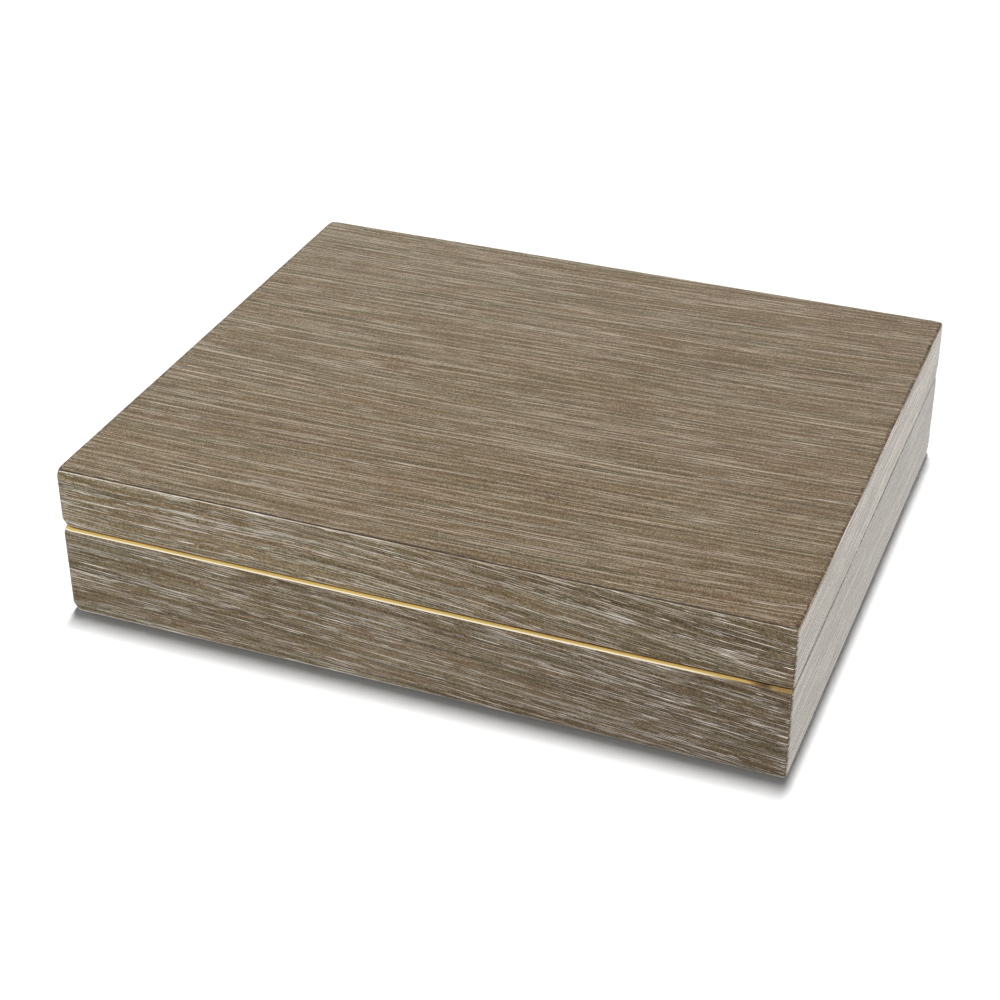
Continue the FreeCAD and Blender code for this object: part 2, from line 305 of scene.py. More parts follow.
# Veneers: rounds of the uprights and of the lower and upper edge of each part's sides, how much deeper in
# millimetres and how far the corners are sanded, and grid steps along and across the grain
veneers = {
    "arrisRound": 1.3 * millimetre,
    "edgeRounds": {
        "lid": {"front": (0.8, 1.3), "left": (1.0, 1.3), "right": (0.4, 1.3), "back": (0.0, 1.3)},
        "base": {"front": (0.4, 2.0), "left": (1.0, 1.2), "right": (0.5, 0.4), "back": (1.0, 0.0)},
    },
    "cornerDepths": {"frontLeft": 1.5, "frontRight": 0.3, "backRight": 0.9, "backLeft": 0.9},
    "topCornerDepths": {"frontLeft": 0.8, "frontRight": 0.3, "backRight": 0.45, "backLeft": 0.45},
    "cornerReach": 3.9 * millimetre,
    "topStep": (2.4 * millimetre, 0.34 * millimetre),
    "sideStep": (1.5 * millimetre, 0.15 * millimetre),
}
partLevels = {
    "lid": (boxLevels["lidRim"], boxLevels["lidTop"]),
    "base": (boxLevels["baseFoot"], boxLevels["bandTop"]),
}

sideFrames = {
    # corner at the left foot as seen from outside, direction along, outward, length
    "front": ((boxLevels["left"], boxLevels["front"]), (1, 0, 0), (0, -1, 0), boxWidth),
    "right": ((boxLevels["right"], boxLevels["front"]), (0, 1, 0), (1, 0, 0), boxDepth),
    "back": ((boxLevels["right"], boxLevels["back"]), (-1, 0, 0), (0, 1, 0), boxWidth),
    "left": ((boxLevels["left"], boxLevels["back"]), (0, -1, 0), (-1, 0, 0), boxDepth),
}
sideOrder = ("front", "right", "back", "left")
sideCorners = {"front": ("frontLeft", "frontRight"), "right": ("frontRight", "backRight"),
               "back": ("backRight", "backLeft"), "left": ("backLeft", "frontLeft")}


def sanded(first, second, depth, most):
    # how much deeper a corner is, by the distances from its two edges; less where it is deep already
    near = np.clip(1 - np.hypot(first, second) / veneers["cornerReach"], 0, 1)
    return most * millimetre * near ** 2 * np.clip(1 - depth / veneerThickness, 0, 1)


def faceDepth(part, side, a, z):
    # how deep a side lies under its flat face, at a place along it and a height
    low, high = partLevels[part]
    lowRound, highRound = (radius * millimetre for radius in veneers["edgeRounds"][part][side])
    ends = np.minimum(a, sideFrames[side][3] - a)
    upright = roundDepth(ends, veneers["arrisRound"])
    level = np.maximum(roundDepth(z - low, lowRound), roundDepth(high - z, highRound))
    depth = blended(upright, level)
    atTop = (part == "lid") & (high - z < z - low)
    atStart = 2 * a < sideFrames[side][3]
    start, end = sideCorners[side]
    most, topMost = (np.where(atStart, veneers[key][start], veneers[key][end])
                     for key in ("cornerDepths", "topCornerDepths"))
    most = np.where(atTop, topMost, most)
    return depth + sanded(ends, np.minimum(z - low, high - z), depth, most)


def sideMeets(part, side, foot):
    # the depths of the two neighbours at the mitres, by the height above the board's foot
    place = sideOrder.index(side)
    border = veneers["arrisRound"] * (1 - math.sqrt(0.5))

    def depthOf(other, atEnd):
        near = sideFrames[other][3] - border if atEnd else border
        return lambda b: faceDepth(part, other, np.full_like(b, near), foot + b)

    return {"start": depthOf(sideOrder[place - 1], True), "end": depthOf(sideOrder[(place + 1) % 4], False)}


def notchAt(side, a, foot):
    # height that the back bevel takes off a board of the lid, or off a board of the base, at its place a
    if side == "back":
        beyond = np.full_like(a, boxLevels["back"] - pinY)
    elif side == "right":
        beyond = np.maximum(boxLevels["front"] + a - pinY, 0)
    elif side == "left":
        beyond = np.maximum(boxLevels["back"] - a - pinY, 0)
    else:
        beyond = np.zeros_like(a)
    return np.maximum(beyond * bevelSlope - abs(foot - seamZ), 0)


def sideVeneer(part, side):
    (x, y), along, outward, length = sideFrames[side]
    t = veneerThickness
    mitre = mitredEdge(t)
    low, high = partLevels[part]
    lowRound, highRound = (radius * millimetre for radius in veneers["edgeRounds"][part][side])
    edges = {"start": mitre, "end": mitre, "low": roundedEdge(lowRound, count=8), "high": mitre}
    innerBack = max((boxLevels["back"] - t - pinY) * bevelSlope, 0)
    if part == "base":
        if side == "front":
            high = boxLevels["bandFoot"]
            highRound = 0
        edges["high"] = roundedEdge(highRound, count=5)

    def shift(a, b, innerA, innerB):
        # the back bevel takes its height off the edge at the seam, less and less away from it
        height = high - low
        seam = low if part == "lid" else high
        notch = notchAt(side, a, seam)
        innerNotch = notch
        if side == "back":
            innerNotch = max(innerBack - abs(seam - seamZ), 0)
        if part == "lid":
            return a, b + notch * (1 - b / height), innerA, innerB + innerNotch * (1 - innerB / height)
        return a, b - notch * b / height, innerA, innerB - innerNotch * innerB / height

    place = ((x, y, low), along, (0, 0, 1), outward)
    piece = oakBoard(part + "Veneer" + side.capitalize(), side, place, (length, high - low), edges,
                     veneers["sideStep"], (0.0, low), lambda a, b: faceDepth(part, side, a, low + b),
                     sideMeets(part, side, low), shift)
    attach(piece, part)
    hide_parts(part + "_veneer_" + side)
    return piece


def topVeneer():
    edges = evenEdges(mitredEdge(veneerThickness))
    size = (boxWidth, boxDepth)

    def depthAt(a, b):
        depth = edgeDepth(edges, size, a, b)
        depths = veneers["topCornerDepths"]
        front = np.where(2 * a < size[0], depths["frontLeft"], depths["frontRight"])
        back = np.where(2 * a < size[0], depths["backLeft"], depths["backRight"])
        most = np.where(2 * b < size[1], front, back)
        return depth + sanded(np.minimum(a, size[0] - a), np.minimum(b, size[1] - b), depth, most)

    place = ((boxLevels["left"], boxLevels["front"], boxLevels["lidTop"]), (1, 0, 0), (0, 1, 0), (0, 0, 1))
    piece = oakBoard("lidVeneerTop", "top", place, size, edges, veneers["topStep"], (0.0, 0.0), depthAt)
    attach(piece, "lid")
    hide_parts("lid_veneer_top")
    return piece


oakPieces = [topVeneer()]
for side in sideFrames:
    oakPieces.append(sideVeneer("lid", side))
    oakPieces.append(sideVeneer("base", side))
print("veneers made,", sum(len(piece.data.polygons) for piece in oakPieces), "faces")


# Brass line: the rounded upper edge of the front of the base
brassLine = {
    "step": (2.0 * millimetre, 0.4 * millimetre),
}


def brassBand():
    (x, y), along, outward, length = sideFrames["front"]
    bandLow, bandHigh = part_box("rim_band_front")
    low, high = bandLow.z, bandHigh.z
    width = bandHigh.y - bandLow.y
    rimRound = veneers["edgeRounds"]["base"]["front"][1] * millimetre
    mitre = mitredEdge(width)
    rest = math.degrees(math.asin(max(0.0, 1 - (high - low) / rimRound)))
    edges = {"start": mitre, "end": mitre, "low": roundedEdge(0),
             "high": roundedEdge(rimRound, count=14, rest=rest)}
    place = ((x, y, low), along, (0, 0, 1), outward)
    piece = buildBoard("rimBand", place, (length, high - low), edges, width, brassLine["step"],
                       lambda a, b: faceDepth("base", "front", a, low + b), sideMeets("base", "front", low),
                       marks=lambda a, b: {"reach": a / length})
    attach(piece, "base")
    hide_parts("rim_band_front")
    return piece


bandPiece = brassBand()
print("brass line made")


# Lining: suede cloth over thin boards round the inside, and padded floor and ceiling
lining = {
    "rimRound": 0.8 * millimetre,
    "step": (3.0 * millimetre, 1.5 * millimetre),
    "padStep": (2.5 * millimetre, 2.5 * millimetre),
    "padEdge": 1.8 * millimetre,
    "padCrown": 0.9 * millimetre,
    "padRipple": 0.10 * millimetre,
    "padCell": 34.0 * millimetre,
}


def liningBoard(part, side):
    # a wrapped board whose face looks inwards; its back is longer than its face by the mitres
    low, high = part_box(part + "_lining_" + side)
    thickness = min(high.x - low.x, high.y - low.y)
    along, inward = {"front": ((-1, 0, 0), (0, 1, 0)), "back": ((1, 0, 0), (0, -1, 0)),
                     "left": ((0, 1, 0), (1, 0, 0)), "right": ((0, -1, 0), (-1, 0, 0))}[side]
    length = max(high.x - low.x, high.y - low.y) - 2 * thickness
    corner = {
        "front": (high.x - thickness, high.y), "back": (low.x + thickness, low.y),
        "left": (high.x, low.y + thickness), "right": (low.x, high.y - thickness),
    }[side]
    mitre = roundedEdge(0, -thickness)
    rim = roundedEdge(lining["rimRound"])
    foot = roundedEdge(0)
    edges = {"start": mitre, "end": mitre, "low": foot, "high": rim}
    if part == "lid":
        edges["low"], edges["high"] = rim, foot
    place = ((*corner, low.z), along, (0, 0, 1), inward)
    piece = buildBoard(part + "Lining" + side.capitalize(), place, (length, high.z - low.z), edges, thickness,
                       lining["step"])
    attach(piece, part)
    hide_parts(part + "_lining_" + side)
    return piece


def crownedPad(name, node, part, upward, seed):
    # rolled edges all round, and a face that swells from its edges to its middle with faint soft ripples
    low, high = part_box(node)
    size = (high.x - low.x, high.y - low.y)
    edges = evenEdges(roundedEdge(lining["padEdge"], count=8))
    faceZ = high.z if upward > 0 else low.z

    def relief(a, b):
        swell = (1 - (2 * a / size[0] - 1) ** 4) * (1 - (2 * b / size[1] - 1) ** 4)
        ripple = latticeNoise(a / lining["padCell"], b / lining["padCell"], seed) - 0.5
        return lining["padCrown"] * (swell - 1) + lining["padRipple"] * ripple * swell

    place = ((low.x, low.y, faceZ), (1, 0, 0), (0, 1, 0), (0, 0, upward))
    piece = buildBoard(name, place, size, edges, high.z - low.z, lining["padStep"], relief=relief)
    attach(piece, part)
    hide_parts(node)
    return piece


liningPieces = [liningBoard(part, side) for part in ("base", "lid") for side in sideFrames]
liningPieces.append(crownedPad("floorPad", "floor_pad", "base", 1, 51))
liningPieces.append(crownedPad("lidPad", "lid_pad", "lid", -1, 52))
print("lining made")


# Felt under the base
felt = {
    "edgeRound": 0.5 * millimetre,
    "step": (6.0 * millimetre, 6.0 * millimetre),
}


def underFelt():
    low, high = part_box("underside_felt")
    size = (high.x - low.x, high.y - low.y)
    edges = evenEdges(roundedEdge(felt["edgeRound"], count=4))
    place = ((low.x, low.y, low.z), (1, 0, 0), (0, 1, 0), (0, 0, -1))
    piece = buildBoard("underFelt", place, size, edges, high.z - low.z, felt["step"])
    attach(piece, "base")
    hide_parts("underside_felt")
    return piece


feltPiece = underFelt()
print("felt made")


def feed(socket, value):
    # links a socket to the one given, or sets it to a plain value
    if isinstance(value, bpy.types.NodeSocket):
        socket.id_data.links.new(value, socket)
    else:
        socket.default_value = value


def give(node, **values):
    # feeds the inputs of a node by their names, with _ for a space
    for key, value in values.items():
        feed(node.inputs[key.replace("_", " ")], value)


def addNode(tree, kind, **settings):
    # a node of that kind; settings that name one of its own values set it, the rest feed its inputs
    made = tree.nodes.new("ShaderNode" + kind)
    own = [key for key in settings if hasattr(made, key)]
    for key in own:
        setattr(made, key, settings[key])
    give(made, **{key: value for key, value in settings.items() if key not in own})
    return made


def treeOf(*values):
    # the node tree of the first value that is a socket
    return next(value.id_data for value in values if isinstance(value, bpy.types.NodeSocket))


def compute(operation, first, second=0.0, clamp=False):
    made = addNode(treeOf(first, second), "Math", operation=operation, use_clamp=clamp)
    feed(made.inputs[0], first)
    feed(made.inputs[1], second)
    return made.outputs[0]


def times(first, second, clamp=False):
    return compute("MULTIPLY", first, second, clamp)


def plus(first, second):
    return compute("ADD", first, second)


def minus(first, second, clamp=False):
    return compute("SUBTRACT", first, second, clamp)


def larger(first, second):
    return compute("MAXIMUM", first, second)


def rescale(value, low, high, toLow=0.0, toHigh=1.0, smooth=False):
    # takes low to toLow and high to toHigh, and holds what lies beyond them
    made = addNode(treeOf(value), "MapRange", interpolation_type="SMOOTHSTEP" if smooth else "LINEAR",
                   Value=value, From_Min=low, From_Max=high, To_Min=toLow, To_Max=toHigh)
    return made.outputs["Result"]


def blendColor(share, first, second, mode="MIX"):
    made = addNode(treeOf(share, first, second), "Mix", data_type="RGBA", blend_type=mode)
    for index, value in ((0, share), (6, first), (7, second)):
        feed(made.inputs[index], value)
    return made.outputs[2]


def inMillimetres(place):
    made = addNode(treeOf(place), "VectorMath", operation="SCALE", Vector=place, Scale=1 / millimetre)
    return made.outputs[0]


# How far a row of noise cells slips on from the last one, in cells, and how a shift counts on each axis
rowSlip = 0.618
shiftShares = (1.0, 1.7, 0.6)


def stretched(vector, cell, detail, roughness, shift):
    # noise drawn out along the grain, with cells of that length and width in millimetres; the rows of cells
    # slip, so that their ends never line up
    tree = treeOf(vector)
    placed = addNode(tree, "Mapping", vector_type="POINT", Vector=vector,
                     Location=[shift * share for share in shiftShares],
                     Scale=(1 / cell[0], 1 / cell[1], 1.0))
    axes = addNode(tree, "SeparateXYZ", Vector=placed.outputs["Vector"]).outputs
    slipped = addNode(tree, "CombineXYZ", X=plus(axes[0], times(axes[1], rowSlip)), Y=axes[1], Z=axes[2])
    made = addNode(tree, "TexNoise", noise_dimensions="3D", Vector=slipped.outputs[0], Scale=1.0,
                   Detail=detail, Roughness=roughness)
    return made.outputs[0]


def newGroup(name, inputs, outputs):
    # inputs and outputs are names by the kind of socket
    group = bpy.data.node_groups.new(name, "ShaderNodeTree")
    for way, sockets in (("INPUT", inputs), ("OUTPUT", outputs)):
        for kind, keys in sockets.items():
            for key in keys:
                group.interface.new_socket(key, in_out=way, socket_type="NodeSocket" + kind)
    return group, group.nodes.new("NodeGroupInput").outputs, group.nodes.new("NodeGroupOutput").inputs


# Noises of the limed oak: length along the grain and width in millimetres, detail, roughness and shift
oakNoises = {
    "band": ((150.0, 4.6), 2.0, 0.5, 3.1),
    "ring": ((95.0, 1.35), 3.0, 0.62, 7.7),
    "drift": ((210.0, 12.0), 1.0, 0.5, 71.9),
    "streak": ((38.0, 0.75), 1.0, 0.5, 77.3),
    "stipple": ((12.0, 0.50), 1.0, 0.5, 83.7),
    "hair": ((60.0, 0.44), 1.0, 0.5, 23.9),
    "dash": ((20.0, 0.36), 1.0, 0.5, 28.1),
    "tick": ((9.0, 0.47), 1.0, 0.6, 91.3),
    "check": ((24.0, 0.46), 1.0, 0.5, 31.7),
    "fleck": ((0.55, 0.65), 1.0, 0.5, 38.9),
    "fibre": ((2.2, 0.12), 2.0, 0.6, 45.3),
    "mottle": ((70.0, 4.0), 2.0, 0.6, 57.1),
    "tooth": ((3.0, 0.9), 1.0, 0.5, 63.3),
}
# What they become: a pair says from which value to which a mark comes in, four say from which two values to
# which two others; the rest are colours, tints and shares
limedOak = {
    "driftTurns": 3.0,
    "streak": (0.25, 0.75, 0.0, 0.58),
    "stipple": (0.25, 0.75, 0.0, 0.42),
    "row": (0.46, 0.72),
    "shade": (0.62, 0.36),
    "mottle": (0.36, 0.64),
    "mottleTints": ((1.05, 0.98, 0.97, 1), (0.95, 1.02, 0.99, 1)),
    "band": (0.34, 0.66),
    "bandTints": ((0.96, 0.965, 0.99, 1), (1.03, 1.02, 0.97, 1)),
    "fleck": (0.28, 0.72, -0.45, 0.45),
    "fibre": (0.28, 0.72, 0.86, 1.14),
    "ending": (0.42, 0.95),
    "endingLevel": (0.0, 1.0, 1.0, 0.76),
    "hair": (0.60, 0.67),
    "dash": (0.645, 0.695),
    "dashCrowd": (0.34, 0.66, 0.012, -0.012),
    "chalkShare": (0.0, 1.0, 0.78, 0.80),
    "tick": (0.66, 0.715),
    "tickCrowd": (0.34, 0.66, 0.015, -0.015),
    "check": (0.58, 0.66),
    "checkShare": 0.55,
    "checkTint": (0.5, 0.48, 0.46, 1),
    "ragged": (0.3, 0.7, -0.22, 0.22),
    "paleRagged": 0.3,
    "edgeSoft": 0.3,
    # darkLine colours the joint lines, and along the sides' seam edges it is painted shade of the seam gap
    "darkLine": (0.050, 0.033, 0.021, 1),
    # the pale line's colour and spread: a painted highlight along some edges, fading towards the right end
    "paleLine": (0.82, 0.77, 0.68, 1),
    "paleWear": (0.40, 0.56, 0.65, 1.0),
    "paleEnding": (0.42, 0.56),
    "paleEnded": (0.0, 1.0, 0.95, 0.35),
    "roughness": 0.24,
    "speckRoughness": 0.08,
    "chalkRoughness": 0.12,
    "darkRoughness": 0.4,
    "fibreHeight": 0.35,
    "chalkDepth": 0.5,
}


def edgeLine(border, widths, ragged, teeth):
    # 1 where a point lies nearer to an edge than that edge's width, less or more by the ragged amount, which
    # counts as many times at the ends as the teeth say
    inside = addNode(treeOf(border), "VectorMath", operation="SUBTRACT")
    feed(inside.inputs[0], widths)
    feed(inside.inputs[1], border)
    parts = addNode(treeOf(border), "SeparateXYZ", Vector=inside.outputs[0]).outputs
    ends = plus(parts[0], times(ragged, teeth))
    sides = plus(larger(parts[1], parts[2]), ragged)
    return rescale(larger(ends, sides), 0.0, limedOak["edgeSoft"])


def oakGroup():
    # a brown that long grey and olive bands and a reddish mottle vary; limed rows, which are rings that long
    # and short noises break up; thin chalky hairs, and dashes and short ticks that crowd into the dark bands;
    # dark checks, small flecks and fine fibre; the tone goes from one tint at the left to another at the
    # right, where the ending is darker; a dark line along some edges, joint lines that along the seam are
    # painted shade; and a pale line along others, which is a painted highlight
    group, given, out = newGroup(
        "limedOakGrain",
        {"Vector": ("Grain", "Border", "Dark", "Pale"),
         "Color": ("Brown", "Shade", "Lime", "Chalk", "Left", "Right"),
         "Float": ("Spacing", "Ringing", "Liming", "Hair", "Dash", "Tick", "Fleck", "Ending", "Teeth")},
        {"Color": ("Color",), "Float": ("Roughness", "Height")},
    )

    def turned(value, key, smooth=False):
        return rescale(value, *limedOak[key], smooth=smooth)

    def tinted(color, tint):
        return blendColor(1.0, color, tint, "MULTIPLY")

    grain = inMillimetres(given["Grain"])
    along, across = addNode(group, "SeparateXYZ", Vector=grain).outputs[:2]
    noise = {key: stretched(grain, *values) for key, values in oakNoises.items()}
    # limed rows
    drift = times(noise["drift"], limedOak["driftTurns"])
    turns = plus(compute("DIVIDE", across, given["Spacing"]), drift)
    wave = rescale(compute("COSINE", times(turns, 2 * math.pi)), -1.0, 1.0)
    broken = plus(turned(noise["streak"], "streak"), turned(noise["stipple"], "stipple"))
    ringed = times(minus(wave, broken), given["Ringing"])
    row = turned(plus(broken, ringed), "row", True)
    beside = minus(1.0, row)
    reach = rescale(along, 0.0, boxWidth / millimetre)
    ending = times(turned(reach, "ending", True), given["Ending"])
    # brown and shade, bands and mottle, flecks and fibre
    shaded = times(turned(noise["ring"], "shade"), beside)
    wood = blendColor(shaded, given["Brown"], given["Shade"])
    wood = tinted(wood, blendColor(turned(noise["mottle"], "mottle"), *limedOak["mottleTints"]))
    wood = tinted(wood, blendColor(turned(noise["band"], "band"), *limedOak["bandTints"]))
    speck = times(turned(noise["fleck"], "fleck"), given["Fleck"])
    level = times(turned(noise["fibre"], "fibre"), plus(speck, 1.0))
    level = times(level, turned(ending, "endingLevel"))
    grey = addNode(group, "CombineColor")
    for index in range(3):
        feed(grey.inputs[index], level)
    # lime in the rows, then chalk in hairs and dashes, and in ticks, most of them where the ending is
    wood = blendColor(times(row, given["Liming"]), wood, given["Lime"])
    wood = tinted(wood, grey.outputs[0])
    hairs = times(turned(noise["hair"], "hair", True), given["Hair"])
    crowded = plus(noise["dash"], turned(noise["band"], "dashCrowd"))
    dashes = times(turned(crowded, "dash", True), given["Dash"])
    chalky = times(larger(hairs, dashes), turned(ending, "chalkShare"), clamp=True)
    crowded = plus(noise["tick"], turned(noise["band"], "tickCrowd"))
    ticks = times(turned(crowded, "tick", True), larger(ending, given["Tick"]))
    chalky = larger(chalky, ticks)
    wood = blendColor(chalky, wood, given["Chalk"])
    # dark checks beside the rows, and the tint from left to right
    dark = times(turned(noise["check"], "check", True), beside)
    dark = times(dark, limedOak["checkShare"])
    wood = blendColor(dark, wood, tinted(wood, limedOak["checkTint"]))
    wood = tinted(wood, blendColor(reach, given["Left"], given["Right"]))
    # lines along the edges: dark joint lines, which along the seam are painted shade, and pale lines that are
    # a painted highlight
    ragged = turned(noise["tooth"], "ragged")
    darkEdge = edgeLine(given["Border"], given["Dark"], ragged, given["Teeth"])
    wood = blendColor(darkEdge, wood, limedOak["darkLine"])
    # the pale line is a painted highlight, in patches, fading towards the right end
    fading = times(turned(reach, "paleEnding", True), given["Ending"])
    highlightShare = times(turned(noise["mottle"], "paleWear"), turned(fading, "paleEnded"))
    smooth = times(ragged, limedOak["paleRagged"])
    highlightEdge = edgeLine(given["Border"], given["Pale"], smooth, 1.0)
    wood = blendColor(times(highlightEdge, highlightShare), wood, limedOak["paleLine"])
    feed(out["Color"], wood)
    rough = plus(times(chalky, limedOak["chalkRoughness"]), limedOak["roughness"])
    rough = plus(times(speck, limedOak["speckRoughness"]), rough)
    feed(out["Roughness"], plus(rough, times(darkEdge, limedOak["darkRoughness"])))
    sunk = plus(times(chalky, limedOak["chalkDepth"]), dark)
    feed(out["Height"], minus(times(noise["fibre"], limedOak["fibreHeight"]), sunk))
    return group


oakFinish = oakGroup()


def bump(height, distance):
    made = addNode(treeOf(height), "Bump", Strength=1.0, Distance=distance * millimetre, Height=height)
    return made.outputs["Normal"]


def newMaterial(name, roughness=0.5):
    material = bpy.data.materials.new(name)
    material.use_nodes = True
    shader = material.node_tree.nodes["Principled BSDF"]
    give(shader, Roughness=roughness)
    return material, material.node_tree, shader


def readAttribute(tree, name):
    return addNode(tree, "Attribute", attribute_type="GEOMETRY", attribute_name=name)


def grainMaterial(name, values, relief):
    # a material with the limed oak in it, the values that it is given, and how deep its relief is
    material, tree, shader = newMaterial(name)
    group = addNode(tree, "Group", node_tree=oakFinish)
    give(group, **values)
    give(shader, Base_Color=group.outputs["Color"], Roughness=group.outputs["Roughness"],
         Normal=bump(group.outputs["Height"], relief))
    return material, tree, shader, group


# Per face: colours, how much rings rule the limed rows, and how strong the liming, hairs, dashes, ticks and
# flecks are
oakLooks = {
    "top": {"Brown": (0.172, 0.117, 0.060, 1), "Shade": (0.128, 0.088, 0.045, 1),
            "Lime": (0.30, 0.228, 0.145, 1), "Chalk": (0.68, 0.59, 0.46, 1), "Ringing": 0.48, "Liming": 0.45,
            "Hair": 0.60, "Dash": 0.95, "Tick": 0.0, "Fleck": 1.15},
    "front": {"Brown": (0.170, 0.122, 0.064, 1), "Shade": (0.100, 0.073, 0.041, 1),
              "Lime": (0.28, 0.23, 0.16, 1), "Chalk": (0.84, 0.80, 0.73, 1), "Ringing": 0.25, "Liming": 0.30,
              "Hair": 0.40, "Dash": 0.96, "Tick": 0.55, "Fleck": 1.3},
    # the sides' colours are lighter than the front's; in part this is painted light, the paleness of a side
    # in grazing light
    "side": {"Brown": (0.200, 0.148, 0.088, 1), "Shade": (0.105, 0.078, 0.047, 1),
             "Lime": (0.38, 0.33, 0.26, 1), "Chalk": (0.70, 0.66, 0.60, 1), "Ringing": 0.30, "Liming": 0.66,
             "Hair": 1.15, "Dash": 1.1, "Tick": 0.0, "Fleck": 1.3},
}
# Per face: how wide the grain is drawn, its relief in millimetres and its gloss
oakSurfaces = {
    "top": {"drawn": 0.80, "relief": 0.012, "gloss": 0.15},
    "front": {"drawn": 1.08, "relief": 0.012, "gloss": 0.20},
    "side": {"drawn": 0.9, "relief": 0.006, "gloss": 0.30},
}
# Per board: widths in millimetres of the dark and of the pale line along its ends, low edge and high edge,
# its tints at the left and at the right, how much its right end darkens, and the teeth of its end lines. The
# lid's tints are higher than the base's, painted shade on the base, which lies nearer the floor's shadow;
# the lid's side grows lighter towards the back, painted light.
plainBoard = {"Dark": (0, 0, 0), "Pale": (0, 0, 0), "Ending": 0.0, "Teeth": 1.0}
boardLooks = {
    "lidTop": {"Dark": (1.05, 1.20, 0.9), "Left": (0.97, 1.01, 1.06, 1), "Right": (0.87, 0.87, 0.90, 1),
               "Teeth": 5.5},
    "lidFront": {"Dark": (0.72, 0, 0), "Pale": (0, 0.60, 0.74), "Left": (1.23, 1.26, 1.28, 1),
                 "Right": (1.21, 1.17, 1.15, 1), "Ending": 1.0, "Dash": 1.06},
    "baseFront": {"Dark": (0.72, 0, 0), "Pale": (0, 0.62, 0), "Left": (1.01, 1.02, 1.02, 1),
                  "Right": (1.05, 1.02, 1.03, 1), "Ending": 1.0, "Dash": 1.32},
    "lidBack": {"Left": (1.20, 1.19, 1.17, 1), "Right": (1.24, 1.23, 1.22, 1)},
    "baseBack": {"Left": (1.00, 0.99, 0.98, 1), "Right": (1.02, 1.01, 1.01, 1)},
    # the sides: the dark low edge of the lid and high edge of the base are painted shade of the seam; the
    # lid's pale high edge is a painted highlight
    "lidSide": {"Dark": (0, 0.30, 0), "Pale": (0, 0, 0.35), "Left": (0.97, 0.98, 0.98, 1),
                "Right": (1.24, 1.26, 1.29, 1)},
    "baseSide": {"Dark": (0, 0, 0.45), "Left": (0.82, 0.81, 0.80, 1), "Right": (0.86, 0.87, 0.88, 1)},
}


def oakMaterial(part, face):
    kind = "front" if face == "back" else face
    surface = oakSurfaces[kind]
    values = {**oakLooks[kind], **plainBoard, **boardLooks[part + face.capitalize()]}
    values["Spacing"] = oakGrain["spacing"] * surface["drawn"]
    name = "oak" + part.capitalize() + face.capitalize()
    material, tree, shader, group = grainMaterial(name, values, surface["relief"])
    drawn = addNode(tree, "Mapping", vector_type="POINT", Scale=(1.0, surface["drawn"], 1.0),
                    Vector=readAttribute(tree, "grain").outputs["Vector"])
    give(group, Grain=drawn.outputs["Vector"], Border=readAttribute(tree, "border").outputs["Vector"])
    give(shader, Specular_IOR_Level=surface["gloss"])
    return material


oakMaterials = {}
for piece in oakPieces:
    part = "lid" if piece.name.startswith("lid") else "base"
    face = piece.name.split("Veneer")[1].lower()
    face = "side" if face in ("left", "right") else face
    if (part, face) not in oakMaterials:
        oakMaterials[part, face] = oakMaterial(part, face)
    piece.data.materials.append(oakMaterials[part, face])


def dress(node, material):
    # gives a solid that stays its finish in every slot
    slots = frame["nodes"][node].data.materials
    slots.clear()
    slots.append(material)


# Brass: warm base colour, fine drawn lines along X, smudges that dull it a little
brassLooks = {
    "brassLine": {"color": (0.68, 0.48, 0.155, 1), "roughness": (0.18, 0.32), "lines": (40.0, 0.25)},
    "brassHinge": {"color": (0.66, 0.47, 0.19, 1), "roughness": (0.24, 0.42), "lines": (12.0, 0.3)},
    "brassScrew": {"color": (0.70, 0.50, 0.21, 1), "roughness": (0.20, 0.36), "lines": (3.0, 0.3)},
}
brassWear = {
    "lines": (2.0, 0.6, 5.0),
    "lineRelief": 0.004,
    "smudge": ((18.0, 18.0), 3.0, 0.6, 9.0),
    "smudged": (0.35, 0.65),
    "smudgedShade": 0.86,
    "roughened": (0.3, 0.7),
}
# The line has a pale painted highlight along its foot and an orange-brown painted shade, the lid's shade
# and dark reflection, along its top, in millimetres from each. Towards its right end, in shares of its
# length, the painted highlight stops, wood hides the foot and the painted shade comes lower and darker, up
# to a dull tip.
brassLineMarks = {
    "foot": (0.72, 0.30),
    "footColor": (0.97, 0.87, 0.66, 1),
    "footEnd": (0.86, 0.95, 1.0, 0.2),
    "hidden": (0.62, 0.34),
    "hiddenColor": (0.20, 0.145, 0.080, 1),
    "hiddenFrom": (0.88, 0.945),
    "hiddenTip": (0.0, 1.0, 1.0, 0.0),
    "top": (0.85, 0.10),
    "topColor": (0.44, 0.27, 0.08, 1),
    "topDrop": (0.50, 0.80, 0.0, 0.22),
    "endColor": (0.115, 0.070, 0.032, 1),
    "topEnd": (0.938, 0.965),
    "topTip": (0.0, 1.0, 1.0, 0.15),
    "topLower": 1.1,
    "tip": (0.966, 0.982),
    "tipColor": (0.30, 0.19, 0.075, 1),
    "tipSmudge": (0.35, 0.65, 1.0, 0.7),
}


